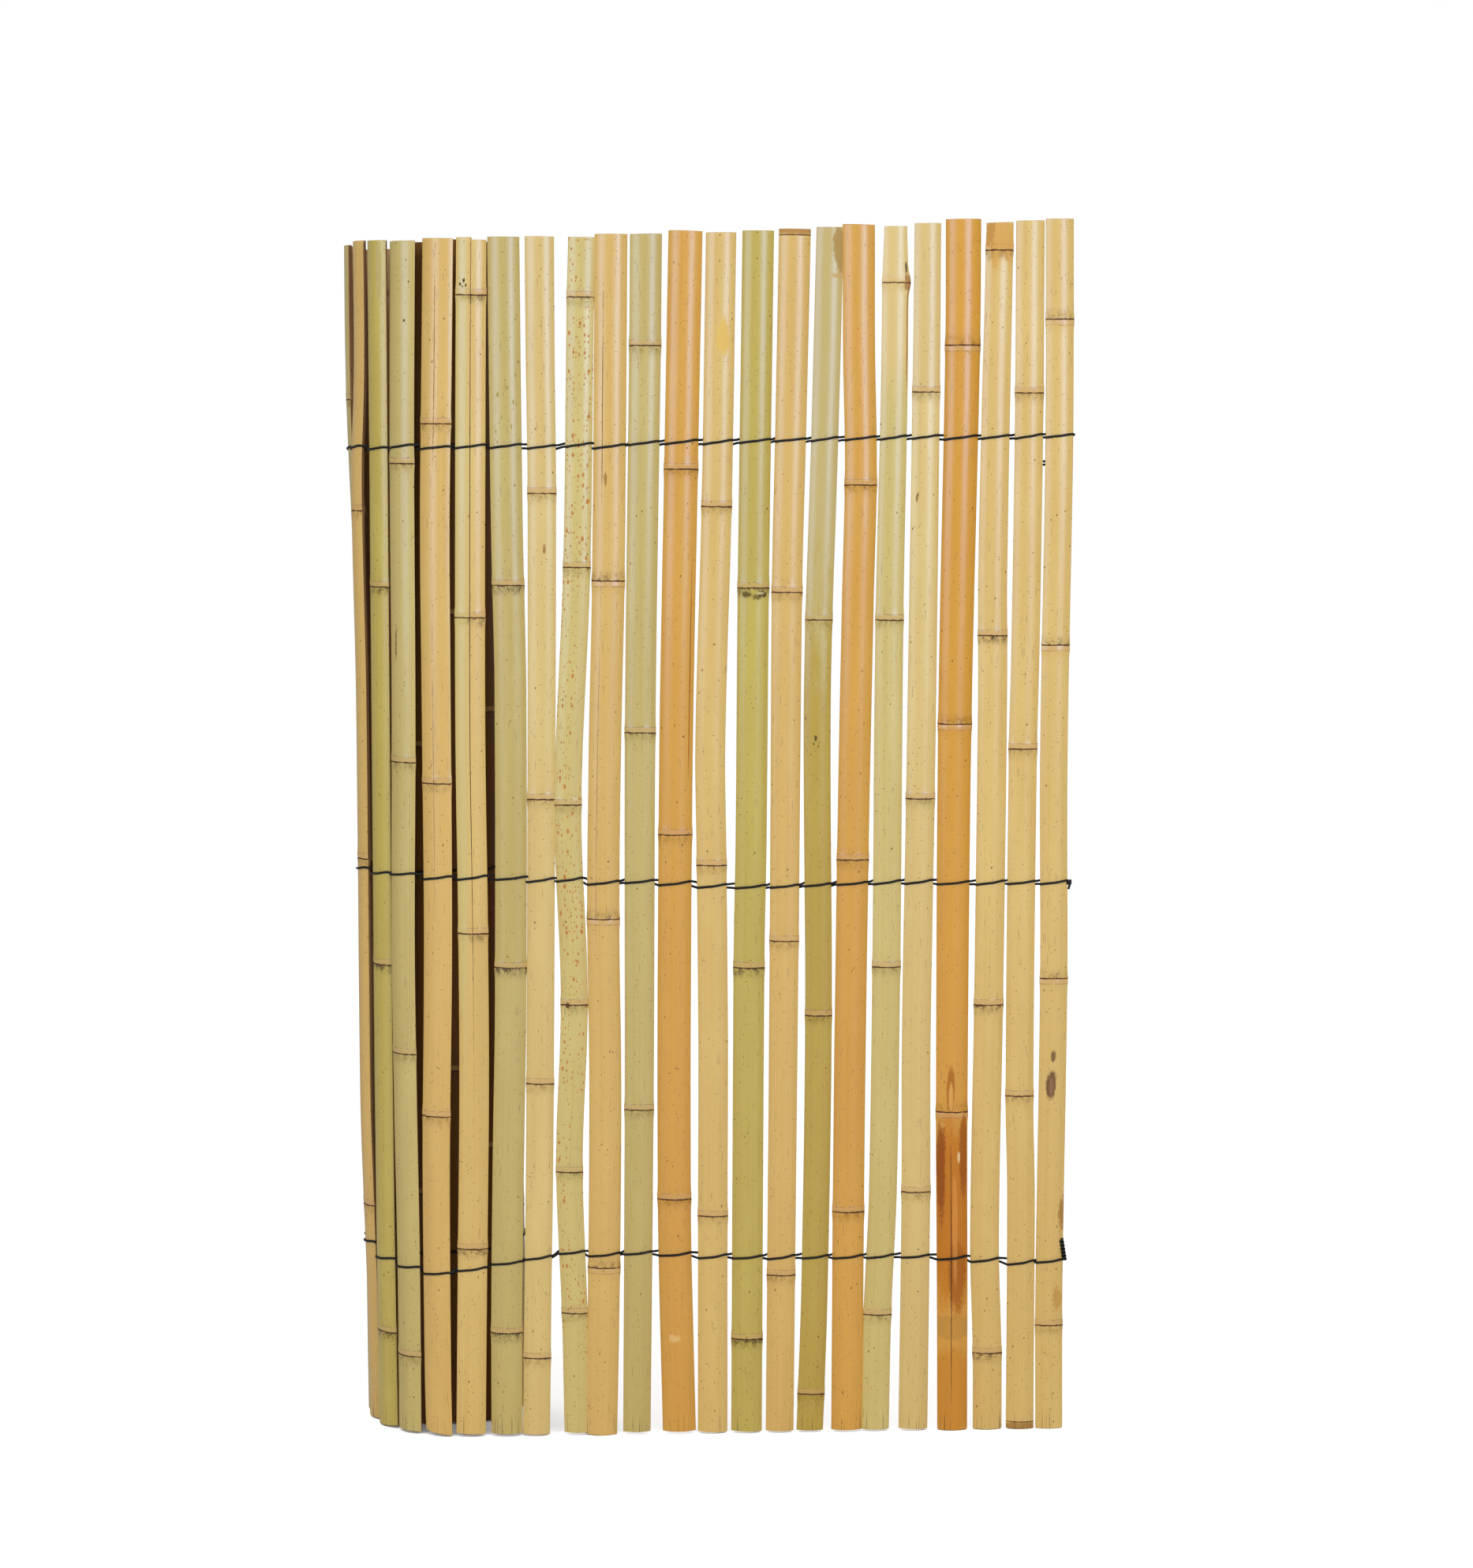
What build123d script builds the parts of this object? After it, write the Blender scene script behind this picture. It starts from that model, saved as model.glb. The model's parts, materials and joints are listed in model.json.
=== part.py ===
from build123d import *
from collections import namedtuple
import math
import os

# A bamboo screening mat, standing on its slat ends. Each slat is a strip split from a round cane.
# Three courses of twined wire bind the slats: each course has two strands, and each strand passes
# in front of one slat and behind the next. One end of the mat is flat, the other is rolled up.
# Sizes are millimetres. X runs along the flat panel, -Y is its skin side, Z is up from the floor.

# The slats
SLAT_LENGTH = 1000
SLAT_WIDTH = 25
CANE_RADIUS = 21
CANE_WALL = 4
RING_RISE = 0.8
RING_SCAR = 1.5
RING_SHOULDER = 6
END_MARGIN = 15

# The binding wires
WIRE = 1.5
WIRE_CLEARANCE = 0.25
WIRE_TAIL = 16
UPPER_BELOW_TOP = 170
MIDDLE_HEIGHT = 462
MIDDLE_CLIMB = 14
LOWER_HEIGHT = 147

# What follows from them: the room that two crossing strands need between two slats,
# how far a strand's middle stays from the bamboo, and how far it falls across a slat's face
WIRE_PASSAGE = WIRE + 4 * WIRE_CLEARANCE
WIRE_STAND = WIRE / 2 + WIRE_CLEARANCE
WIRE_FALL = WIRE + 3 * WIRE_CLEARANCE

# The flat crown of a strand's bend over a skin, as a share of the bend
CROWN_SHARE = 0.375

# The courses, with the height of each at the free end and its climb to the rolled end
Course = namedtuple("Course", "name height climb")
COURSES = [
    Course("upper", SLAT_LENGTH - UPPER_BELOW_TOP, 0),
    Course("middle", MIDDLE_HEIGHT, MIDDLE_CLIMB),
    Course("lower", LOWER_HEIGHT, 0),
]

# One row for each slat, from the free end of the panel to the end inside the roll:
#   wider   what its width across the skin is over the common slat width
#   spare   gap to the slat before it, over what the wires need
#   turn    degrees that it is turned from the slat before it
#   foot    height of its lower end over the floor
#   over    how far its upper end stands over the slat length
#   drift   how far its upper end leans towards +X
#   grows   1 where the cane stands as it grew, -1 where it is upside down
#   nodes   heights of its nodes over the floor
Slat = namedtuple("Slat", "wider spare turn foot over drift grows nodes")
SLATS = [
    Slat(-2.0, 0.0, 0, 0, 6, 14, -1, (92, 381, 658, 924)),
    Slat(-1.5, 0.0, 0, 0, 5, 16, 1, (284, 574, 866)),
    Slat(-0.5, 1.0, 0, 0, 4, 17, 1, (66, 361, 668, 982)),
    Slat(2.5, 1.0, 0, 0, 7, 17, -1, (270, 594, 904)),
    Slat(-0.5, 0.0, 0, 1, 4, 19, 1, (204, 534, 868)),
    Slat(-1.5, 1.0, 0, 1, 2, 21, 1, (100, 394, 682, 957)),
    Slat(1.5, 2.0, 0, 1, 4, 20, -1, (191, 487, 796)),
    Slat(-2.5, 0.0, 0, 1, 2, 22, 1, (33, 354, 683)),
    Slat(0.0, 2.5, 0, 1, 1, 22, -1, (138, 420, 709)),
    Slat(1.0, 0.5, 0, 1, 0, 21, 1, (81, 395, 710)),
    Slat(0.0, 3.5, 0, 1, -1, 20, 1, (186, 481, 777)),
    Slat(3.0, 0.0, 0, 2, 1, 20, 1, (201, 507, 808)),
    Slat(0.5, 1.5, 0, 2, -1, 22, -1, (280, 595, 912)),
    Slat(2.0, 0.5, 0, 0, -1, 24, -1, (142, 436, 716)),
    Slat(-2.5, 0.5, 0, 2, -3, 23, 1, (105, 225, 366, 533, 729, 949)),
    Slat(-2.0, 0.5, 0, 1, -2, 22, 1, (67, 300, 538, 790)),
    Slat(1.5, 0.5, 0, 2, -2, 22, 1, (89, 398, 715)),
    Slat(0.0, 1.0, 0, 2, -2, 22, -1, (164, 430, 692, 955)),
    Slat(1.0, 0.0, 19, 1, -2, 22, -1, (276, 555, 851)),
    Slat(2.0, 2.0, 18, 2, -3, 19, -1, (70, 327, 572, 819)),
    Slat(2.5, 1.5, 17, 0, -1, 15, 1, (83, 397, 714)),
    Slat(2.5, 0.0, 17, 1, 0, 11, 1, (187, 484, 777)),
    Slat(1.0, 1.5, 18, 0, -2, 8, 1, (235, 560, 870)),
    Slat(1.0, 0.0, 23, 0, -3, 6, -1, (310, 680)),
    Slat(0.5, 0.0, 27, 0, -2, 6, 1, (175, 530, 880)),
    Slat(1.0, 0.0, 26, 0, -4, 6, 1, (265, 640)),
    Slat(0.0, 0.0, 25, 1, -1, 6, -1, (330, 720)),
    Slat(1.0, 0.0, 25, 0, -3, 5, 1, (215, 590)),
    Slat(0.5, 0.0, 24, 1, -2, 4, 1, (290, 655)),
    Slat(1.5, 0.0, 25, 0, -1, 4, -1, (180, 545)),
    Slat(0.0, 0.0, 27, 1, -4, 4, 1, (350, 740)),
    Slat(1.0, 0.0, 28, 0, -2, 4, -1, (240, 610)),
    Slat(0.5, 0.0, 28, 1, -1, 5, 1, (305, 690)),
    Slat(1.0, 0.0, 24, 0, -3, 6, 1, (200, 580)),
]


def course_height(course, number):
    """The height of a course at the slat with this number, counted from 0 at the free end."""
    return course.height + course.climb * number / (len(SLATS) - 1)


# Where a slat stands in plan at the height of the middle course: the axis of the cane that it was
# split from, the direction along the mat, the direction that its skin faces and half its angle
Stand = namedtuple("Stand", "slat axis along out half")


def slat_width(slat):
    """The slat's width across its skin, from cut edge to cut edge."""
    return SLAT_WIDTH + slat.wider


def half_angle(slat):
    """Half the angle that the slat takes of its cane, in degrees."""
    return math.degrees(math.asin(slat_width(slat) / 2 / CANE_RADIUS))


def on_cane(stand, angle, radius):
    """A plan point of the slat's cane, with the angle counted from the middle of the skin."""
    turn = math.radians(angle)
    return stand.axis + (stand.out * math.cos(turn) + stand.along * math.sin(turn)) * radius


def leaned(stand, height):
    """The shift in plan that the slat's lean gives at a height."""
    return Vector(stand.slat.drift * (height - MIDDLE_HEIGHT) / SLAT_LENGTH, 0)


def kept_nodes(slat):
    """The nodes that lie clear of both cut ends."""
    top = SLAT_LENGTH + slat.over
    return [node for node in slat.nodes if slat.foot + END_MARGIN < node < top - END_MARGIN]


def ring_reach(slat):
    """How far a ring reaches below and above its node: steep at the sheath scar, gentle beyond."""
    return (RING_SCAR, RING_SHOULDER) if slat.grows > 0 else (RING_SHOULDER, RING_SCAR)


def crosses_ring(slat, height):
    """Whether a strand at this height lies on one of the slat's rings."""
    below, above = ring_reach(slat)
    near = WIRE_FALL / 2 + WIRE_STAND
    return any(node - below - near < height < node + above + near for node in kept_nodes(slat))


def lean_room(before, slat, step):
    """How far the lean of two neighbours closes their gap, at the course where that is worst."""
    opening = (slat.drift - before.drift) / SLAT_LENGTH * step.X
    return max(-opening * (course.height - MIDDLE_HEIGHT) for course in COURSES)


def ring_room(slat, number):
    """The room beside the slat for a strand that comes off one of its rings."""
    over_ring = any(crosses_ring(slat, course_height(course, number)) for course in COURSES)
    return RING_RISE if over_ring else 0


def stand_slats():
    """Walk along the mat from its free end and stand each slat where it comes."""
    stands = []
    corner = Vector(0, 0)
    heading = 180
    before = SLATS[0]
    for number, slat in enumerate(SLATS):
        heading -= slat.turn / 2
        step = Vector(1, 0).rotate(Axis.Z, heading)
        room = lean_room(before, slat, step) + ring_room(before, number - 1) + ring_room(slat, number)
        corner += step * (WIRE_PASSAGE + max(slat.spare, room))
        before = slat
        heading -= slat.turn / 2
        along = Vector(1, 0).rotate(Axis.Z, heading)
        out = along.rotate(Axis.Z, 90)
        half = half_angle(slat)
        chord_middle = corner + along * slat_width(slat) / 2
        axis = chord_middle - out * CANE_RADIUS * math.cos(math.radians(half))
        stands.append(Stand(slat, axis, along, out, half))
        corner += along * slat_width(slat)
    return stands


def centred(stands):
    """Move the walk so that the mat's plan is centred on the origin."""
    outer = [
        on_cane(stand, angle, CANE_RADIUS) + leaned(stand, height)
        for stand in stands
        for angle in (-stand.half, 0, stand.half)
        for height in (0, SLAT_LENGTH)
    ]
    middle = Vector(
        (min(point.X for point in outer) + max(point.X for point in outer)) / 2,
        (min(point.Y for point in outer) + max(point.Y for point in outer)) / 2,
    )
    return [stand._replace(axis=stand.axis - middle) for stand in stands]


def wall_outline(slat):
    """The cane's wall beside its axis, as (radius, height) from the foot, with its rings."""
    length = SLAT_LENGTH + slat.over - slat.foot
    inner = CANE_RADIUS - CANE_WALL
    below, above = ring_reach(slat)
    outline = [(inner, 0), (CANE_RADIUS, 0)]
    for node in kept_nodes(slat):
        height = node - slat.foot
        outline += [
            (CANE_RADIUS, height - below),
            (CANE_RADIUS + RING_RISE, height),
            (CANE_RADIUS, height + above),
        ]
    return outline + [(CANE_RADIUS, length), (inner, length)]


def split_slat(stand, name):
    """Turn the wall's outline about the leaning cane axis, through the slat's own angle."""
    slat = stand.slat
    slope = slat.drift / SLAT_LENGTH
    lowest = max(
        (on_cane(stand, angle, radius) - stand.axis).X * slope
        for angle in (-stand.half, 0, stand.half)
        for radius in (CANE_RADIUS, CANE_RADIUS - CANE_WALL)
    )
    foot = stand.axis + leaned(stand, slat.foot) + Vector(0, 0, slat.foot + lowest)
    cane = Axis(foot, Vector(slope, 0, 1))
    first_edge = stand.out.rotate(Axis.Z, stand.half)
    first_side = first_edge.cross(cane.direction)
    with BuildPart() as strip:
        with BuildSketch(Plane(foot, x_dir=cane.direction.cross(first_side), z_dir=first_side)):
            with BuildLine():
                Polyline(*wall_outline(slat), close=True)
            make_face()
        revolve(axis=cane, revolution_arc=-2 * stand.half)
    strip.part.label = name
    export_step(strip.part, f"parts/{name}.step")


def front_run(stand, height):
    """Four corners over the skin: three straights that touch the wire's circle round the cane."""
    rise = RING_RISE if crosses_ring(stand.slat, height) else 0
    circle = CANE_RADIUS + rise + WIRE_STAND
    crown = CROWN_SHARE * stand.half
    flank = stand.half - 2 * crown
    corners = []
    for angle, off in ((-stand.half, flank), (-crown, crown), (crown, crown), (stand.half, flank)):
        spot = on_cane(stand, angle, circle / math.cos(math.radians(off)))
        fall = Vector(0, 0, height - WIRE_FALL * angle / (2 * stand.half))
        corners.append(spot + leaned(stand, height) + fall)
    return corners


def back_run(stand, height):
    """Two corners behind the slat, just outside the inner corners of its cut edges."""
    corners = []
    for side in (-1, 1):
        spot = on_cane(stand, side * stand.half, CANE_RADIUS - CANE_WALL)
        spot += (stand.along * side / 2 - stand.out) * WIRE_STAND
        climb = Vector(0, 0, height + WIRE_FALL * side / 2)
        corners.append(spot + leaned(stand, height) + climb)
    return corners


def tail(stand, height, side, in_front):
    """The strand's end, turned up beside the mat's last cut edge."""
    radius = CANE_RADIUS if in_front else CANE_RADIUS - CANE_WALL + WIRE_STAND / 2
    turn = math.radians(side * stand.half)
    past_edge = (stand.along * math.cos(turn) - stand.out * math.sin(turn)) * side
    spot = on_cane(stand, side * stand.half, radius) + past_edge * (WIRE_STAND + WIRE_CLEARANCE)
    level = height - side * WIRE_FALL / 2 if in_front else height + side * WIRE_FALL / 2
    bend = spot + leaned(stand, height) + Vector(0, 0, level)
    return [bend, bend + Vector(0, 0, WIRE_TAIL)]


def strand_route(stands, heights, first_in_front):
    """The corners of one strand from the free end to the rolled end."""
    route = tail(stands[0], heights[0], -1, first_in_front)[::-1]
    in_front = first_in_front
    for stand, height in zip(stands, heights):
        route += front_run(stand, height) if in_front else back_run(stand, height)
        in_front = not in_front
    return route + tail(stands[-1], heights[-1], 1, not in_front)


def bend_wire(route, name):
    """A wire along the route, with a four-sided section to stand for the thin round one."""
    with BuildPart() as strand:
        with BuildLine():
            Polyline(*route)
        with BuildSketch(Plane(route[0], z_dir=route[1] - route[0])):
            RegularPolygon(radius=WIRE / 2, side_count=4)
        sweep(transition=Transition.RIGHT)
    strand.part.label = name
    export_step(strand.part, f"parts/{name}.step")


os.makedirs("parts", exist_ok=True)
mat = centred(stand_slats())
for number, stand in enumerate(mat, start=1):
    split_slat(stand, f"slat_{number:02d}")

for course in COURSES:
    heights = [course_height(course, number) for number in range(len(mat))]
    bend_wire(strand_route(mat, heights, True), f"{course.name}_wire_a")
    bend_wire(strand_route(mat, heights, False), f"{course.name}_wire_b")
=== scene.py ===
# %% [markdown]
# # A bamboo screening mat
# The real mat is a row of strips split from bamboo canes, bound by three courses of black wire.
# One end stands flat, the other is rolled up behind it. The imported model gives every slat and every
# wire its place and size. This lesson dresses them: it measures each slat in the frame, models it
# again with its joints, crooks and worn ends, twines smooth wire round the slats and gives the cane
# its skin. Everything is in metres, and +Z is up.

# %% Load the frame
import bmesh
import bpy
import json
import math
import random
from bisect import bisect_left
from collections import namedtuple
from mathutils import Matrix, Vector, noise


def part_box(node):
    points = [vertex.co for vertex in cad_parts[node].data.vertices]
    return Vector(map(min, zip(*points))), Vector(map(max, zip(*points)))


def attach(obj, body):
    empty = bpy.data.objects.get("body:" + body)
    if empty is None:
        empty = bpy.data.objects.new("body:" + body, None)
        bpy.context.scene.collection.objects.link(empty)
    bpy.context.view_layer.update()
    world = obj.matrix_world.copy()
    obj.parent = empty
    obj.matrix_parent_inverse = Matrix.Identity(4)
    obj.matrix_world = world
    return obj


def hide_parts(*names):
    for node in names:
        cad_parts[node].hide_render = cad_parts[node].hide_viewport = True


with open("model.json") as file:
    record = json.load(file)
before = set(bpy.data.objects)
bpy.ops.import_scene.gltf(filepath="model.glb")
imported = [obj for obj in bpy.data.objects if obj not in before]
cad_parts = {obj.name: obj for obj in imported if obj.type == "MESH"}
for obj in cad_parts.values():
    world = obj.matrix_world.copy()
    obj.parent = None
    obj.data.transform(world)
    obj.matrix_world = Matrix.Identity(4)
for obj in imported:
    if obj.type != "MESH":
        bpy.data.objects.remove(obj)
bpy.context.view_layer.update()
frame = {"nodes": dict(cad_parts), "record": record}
slat_names = sorted(name for name in frame["nodes"] if name.startswith("slat_"))
MM = 0.001
print("slats in the frame:", len(slat_names))

# %% [markdown]
# ## Measuring a slat
# A slat is part of a cane, so its section is part of a ring. Its two skin corners are the two points
# of an end that lie furthest apart, and the crown of the skin is the point furthest from the line
# between them. Three points fix the circle, so the frame's own mesh tells which cane the slat was
# split from. The rings on the mesh tell where the joints are and which way the cane grew. A ring has
# points at several heights, and only its lowest crest counts.

# %% Read each slat's cane from its node
Slat = namedtuple("Slat", "name foot axis length out right radius wall half joints")
END_REACH = 2 * MM
RING_STEP = 0.4 * MM
RING_HEIGHT = 8 * MM
SCAR_DROP = 1.5 * MM


def end_section(points):
    """The cane's centre and radius, the way the skin faces and the slat's width, from one end."""
    pairs = ((a, b) for a in points for b in points)
    first, last = max(pairs, key=lambda pair: (pair[0] - pair[1]).length)
    middle = (first + last) / 2
    chord = last - first
    across = chord.normalized()

    def off_chord(point):
        return (point - middle) - across * (point - middle).dot(across)

    central = [p for p in points if abs((p - middle).dot(across)) < chord.length / 4]
    crown = max((off_chord(p) for p in central), key=lambda rise: rise.length)
    radius = ((chord.length / 2) ** 2 + crown.length ** 2) / (2 * crown.length)
    out = crown.normalized()
    centre = middle + out * (crown.length - radius)
    return centre, radius, out, chord.length


def measure(name):
    """The facts of one slat, read from its node in the frame."""
    points = [v.co.copy() for v in frame["nodes"][name].data.vertices]
    lowest = min(p.z for p in points)
    highest = max(p.z for p in points)
    foot, radius, out, width = end_section([p for p in points if p.z < lowest + END_REACH])
    head, _, _, _ = end_section([p for p in points if p.z > highest - END_REACH])
    axis = (head - foot).normalized()
    out = (out - axis * out.dot(axis)).normalized()
    right = axis.cross(out)
    heights = [(p - foot).dot(axis) for p in points]
    radii = [((p - foot) - axis * (p - foot).dot(axis)).length for p in points]
    crests = sorted({round(h, 4) for h, r in zip(heights, radii) if r > radius + RING_STEP})
    feet = sorted({h for h, r in zip(heights, radii) if abs(r - radius) < RING_STEP / 4})
    joints = []
    for crest in crests:
        if any(0 < crest - other < RING_HEIGHT for other in crests):
            continue
        below = crest - max(h for h in feet if h < crest - RING_STEP)
        above = min(h for h in feet if h > crest + RING_STEP) - crest
        growth = 1 if below < above else -1
        joints.append((crest - growth * SCAR_DROP / 2, growth))
    wall = radius - min(radii)
    half = math.asin(width / 2 / radius)
    return Slat(name, foot, axis, (head - foot).length, out, right, radius, wall, half, joints)


slats = [measure(name) for name in slat_names]
print("cane radius", round(slats[0].radius, 5), "wall", round(slats[0].wall, 5))
print("joints of the first slat", [(round(h, 4), g) for h, g in slats[0].joints])

# %% [markdown]
# ## The camera
# The photograph was taken with a long lens from about three metres, a little below the top of the
# mat and looking slightly down. Its horizon isn't quite level, so the camera is rolled a little.
# The camera's place is counted from the first slat, at the panel's free end.

# %% Place the camera
PHOTO_HEIGHT_PX = 1988
FOCAL_PX = 4500
CAMERA_DISTANCE = 2.915
CAMERA_HEIGHT = 0.8276
CAMERA_LEFT_OF_FREE_END = 0.2626
CAMERA_PITCH = math.radians(5.477)
CAMERA_ROLL = -0.0145
FREE_END_HEIGHT = 0.47


def show(thing):
    """Put an object in the scene."""
    bpy.context.scene.collection.objects.link(thing)
    return thing


free_end = slats[0].foot + slats[0].axis * FREE_END_HEIGHT
skin_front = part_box(slat_names[0])[0].y
camera_data = bpy.data.cameras.new("camera")
camera_data.lens = FOCAL_PX * camera_data.sensor_width / PHOTO_HEIGHT_PX
camera = show(bpy.data.objects.new("camera", camera_data))
place = Vector((free_end.x - CAMERA_LEFT_OF_FREE_END, skin_front - CAMERA_DISTANCE, CAMERA_HEIGHT))
aim = Matrix.Rotation(math.pi / 2 - CAMERA_PITCH, 4, "X") @ Matrix.Rotation(CAMERA_ROLL, 4, "Z")
camera.matrix_world = Matrix.Translation(place) @ aim
bpy.context.scene.camera = camera
print("camera at", [round(v, 3) for v in place])

# %% [markdown]
# ## How the slats differ
# No two slats are alike. A cane bends a little at each joint and bows between them, and its width
# changes along its length. Both are written as a few points along the slat, read from the photograph:
# the share of its length, and there the shift to the right in millimetres or the width as a share of
# the common one. Two slats where the mat turns back also bow outwards, off the roll. A smooth line
# runs through the points. Slats that the photograph doesn't show get a small crook at each joint, drawn
# at random with a fixed seed.

# %% Crook and width of each slat
CROOK_SPREAD = 0.7 * MM
CROOKS = {
    "slat_01": ((0, -1.4), (0.12, -2.2), (0.38, -0.3), (0.56, -1.7), (0.82, 0.7), (1, -0.3)),
    "slat_02": ((0, 1.5), (0.2, 0.8), (0.28, -1.2), (0.57, -1), (0.65, 0.3), (0.84, 1.6), (1, 1.2)),
    "slat_03": ((0, 2.2), (0.07, 1.4), (0.16, -1.5), (0.36, 0), (0.62, 0.9), (0.72, 0.1), (1, 3.4)),
    "slat_04": ((0, 2.2), (0.12, 1.2), (0.27, -0.4), (0.59, -0.5), (0.9, 3.4), (1, 3.2)),
    "slat_05": ((0, -0.6), (0.2, 0), (0.33, -0.9), (0.53, 0.6), (0.87, 2.2), (1, 2.3)),
    "slat_06": ((0, -4), (0.1, -3), (0.2, 0.4), (0.39, 1.3), (0.68, 0.9), (0.87, 2.8), (1, 2.6)),
    "slat_07": ((0, 1.3), (0.24, 1), (0.49, 2.2), (0.7, 4.5), (0.8, 6), (0.9, 3.6), (1, 2.5)),
    "slat_08": ((0, -1.2), (0.12, 1.6), (0.35, 2.7), (0.62, -0.8), (0.83, 3.2), (1, 6)),
    "slat_09": ((0, 2.2), (0.42, 2.4), (0.71, 2.2), (0.85, 4.2), (1, 6)),
    "slat_10": ((0, 2.4), (0.4, 1.8), (0.5, 2.8), (0.71, 3.2), (1, 5.2)),
    "slat_11": ((0, 5), (0.19, 4.2), (0.33, 3.8), (0.48, 1.8), (0.58, 0.2), (0.78, 4.5), (1, 7)),
    "slat_12": ((0, 6), (0.2, 1), (0.55, 0.8), (0.81, 4.2), (1, 7)),
    "slat_13": ((0, 2), (0.28, 2.5), (0.6, 1.8), (0.91, 4.2), (1, 4.5)),
    "slat_14": ((0, 2.5), (0.14, 4), (0.3, 4), (0.44, 1.5), (0.58, 2), (0.72, 4), (1, 4.5)),
    "slat_15": ((0, 9), (0.1, 7), (0.23, 2), (0.37, 5.5), (0.53, -0.5), (0.73, 6), (0.95, 8), (1, 9)),
    "slat_16": ((0, 0.6), (0.11, 1.4), (0.23, 2.6), (0.45, 3.2), (0.79, 3.2), (0.9, 1.6), (1, 0.6)),
    "slat_17": ((0, 3.6), (0.11, 3.2), (0.25, 4.5), (0.36, 6), (0.63, 5.4), (0.75, 2.6), (0.85, 1), (1, -1)),
    "slat_18": ((0, 2.6), (0.11, 3.4), (0.3, 5), (0.43, 4), (0.6, 1.6), (0.85, 1.6), (1, 2.2)),
    "slat_19": ((0, 3.2), (0.05, 2), (0.23, 0.4), (0.42, 2), (0.65, 0), (0.77, -1), (0.88, 0.4), (1, 1.6)),
    "slat_20": ((0, 4.2), (0.15, 2.9), (0.28, 0), (0.42, -2), (0.6, -0.6), (0.83, -1.5), (1, 0)),
    "slat_21": ((0, 3.6), (0.15, 1.3), (0.28, 0.2), (0.6, 0.4), (1, 1)),
}
BOWS = {
    "slat_22": ((0, -1.2), (0.11, 0), (0.19, 2), (0.28, 3.8), (0.63, 2.6), (0.8, 4), (0.89, 0.6), (1, 0)),
    "slat_23": ((0, 0), (0.6, 0), (0.72, 1), (0.88, 5), (1, 4.6)),
}
WIDTHS = {
    "slat_03": ((0, 1), (0.7, 0.98), (1, 0.9)),
    "slat_04": ((0, 0.91), (0.5, 1), (1, 1.07)),
    "slat_05": ((0, 1), (0.6, 0.97), (1, 0.88)),
    "slat_06": ((0, 1), (0.6, 1), (0.8, 0.95), (0.95, 0.9), (1, 0.78)),
    "slat_09": ((0, 0.93), (0.5, 0.98), (1, 1.06)),
    "slat_13": ((0, 0.9), (0.45, 0.98), (1, 1.04)),
    "slat_15": ((0, 0.9), (0.2, 1), (1, 1)),
    "slat_16": ((0, 1), (0.7, 1.02), (1, 1.06)),
    "slat_19": ((0, 0.92), (0.5, 1), (1, 1.08)),
    "slat_20": ((0, 0.92), (1, 1.04)),
    "slat_21": ((0, 1.08), (1, 1.06)),
}
rng = random.Random(23)


def smooth_line(points, x):
    """The height at x of a smooth line through points, with the slope of the chord at each."""
    last = len(points) - 1
    place = min(max(bisect_left([p[0] for p in points], x), 1), last)

    def slope(i):
        before, after = points[max(i - 1, 0)], points[min(i + 1, last)]
        return (after[1] - before[1]) / (after[0] - before[0])

    (x0, y0), (x1, y1) = points[place - 1], points[place]
    step = x1 - x0
    t = min(max((x - x0) / step, 0), 1)
    bend_in = (t ** 3 - 2 * t ** 2 + t) * step * slope(place - 1)
    bend_out = (t ** 3 - t ** 2) * step * slope(place)
    return y0 + (y1 - y0) * (3 * t ** 2 - 2 * t ** 3) + bend_in + bend_out


def crook_line(slat):
    """The crook of a slat, in metres: written down, or drawn at its ends and joints."""
    if slat.name in CROOKS:
        return [(share * slat.length, shift * MM) for share, shift in CROOKS[slat.name]]
    bends = [0.0] + [height for height, _ in slat.joints] + [slat.length]
    return [(height, rng.uniform(-CROOK_SPREAD, CROOK_SPREAD)) for height in bends]


crook_lines = {slat.name: crook_line(slat) for slat in slats}


def bend_at(slat, height):
    """How far the slat is shifted at a height, to its right and outwards, on the level."""
    bow = smooth_line(BOWS[slat.name], height / slat.length) * MM if slat.name in BOWS else 0.0
    shift = slat.right * smooth_line(crook_lines[slat.name], height) + slat.out * bow
    return Vector((shift.x, shift.y, 0.0))


def width_at(slat, height):
    """The slat's width at a height, as a share of its common width."""
    return smooth_line(WIDTHS[slat.name], height / slat.length) if slat.name in WIDTHS else 1.0


print("crooks read:", len(CROOKS), "bows:", len(BOWS), "widths:", len(WIDTHS))

# %% [markdown]
# ## The joint of a cane
# At a joint the sheath has left a scar, a thin sharp lip, and a few millimetres further the cane
# swells to a low ridge, with a pale band between. Inside, the cross wall was knocked out when the cane
# was split, and a ragged stub of it is left. Both are written as a shape over the distance from the
# scar, counted the way the cane grew. The rows of the mesh stand close together there.

# %% The shape of a joint
SCAR_SHAPE = (
    (-12, 0), (-7, 0.05), (-3.5, 0.12), (-1.6, 0.24), (-0.7, 0.36), (-0.3, 0.38), (0, 0.12), (0.3, 0.06),
    (0.8, 0.2), (1.6, 0.27), (2.8, 0.36), (3.7, 0.42), (4.3, 0.4), (4.8, 0.33), (5.4, 0.26), (7, 0.14),
    (10, 0.04), (14, 0),
)
STUB_SHAPE = ((-4, 0), (-1.6, 0.5), (0, 1.5), (1.2, 1.7), (2.4, 1.4), (4, 0.4), (7, 0))
ROW_STEP = 12 * MM
END_ROW = 1.2 * MM
swells = {slat.name: [rng.uniform(0.75, 1.15) for _ in slat.joints] for slat in slats}


def shape_at(shape, distance):
    """The height of a shape at a distance, both in metres."""
    x = distance / MM
    for (x0, y0), (x1, y1) in zip(shape, shape[1:]):
        if x0 <= x <= x1:
            return (y0 + (y1 - y0) * (x - x0) / (x1 - x0)) * MM
    return 0.0


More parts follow.
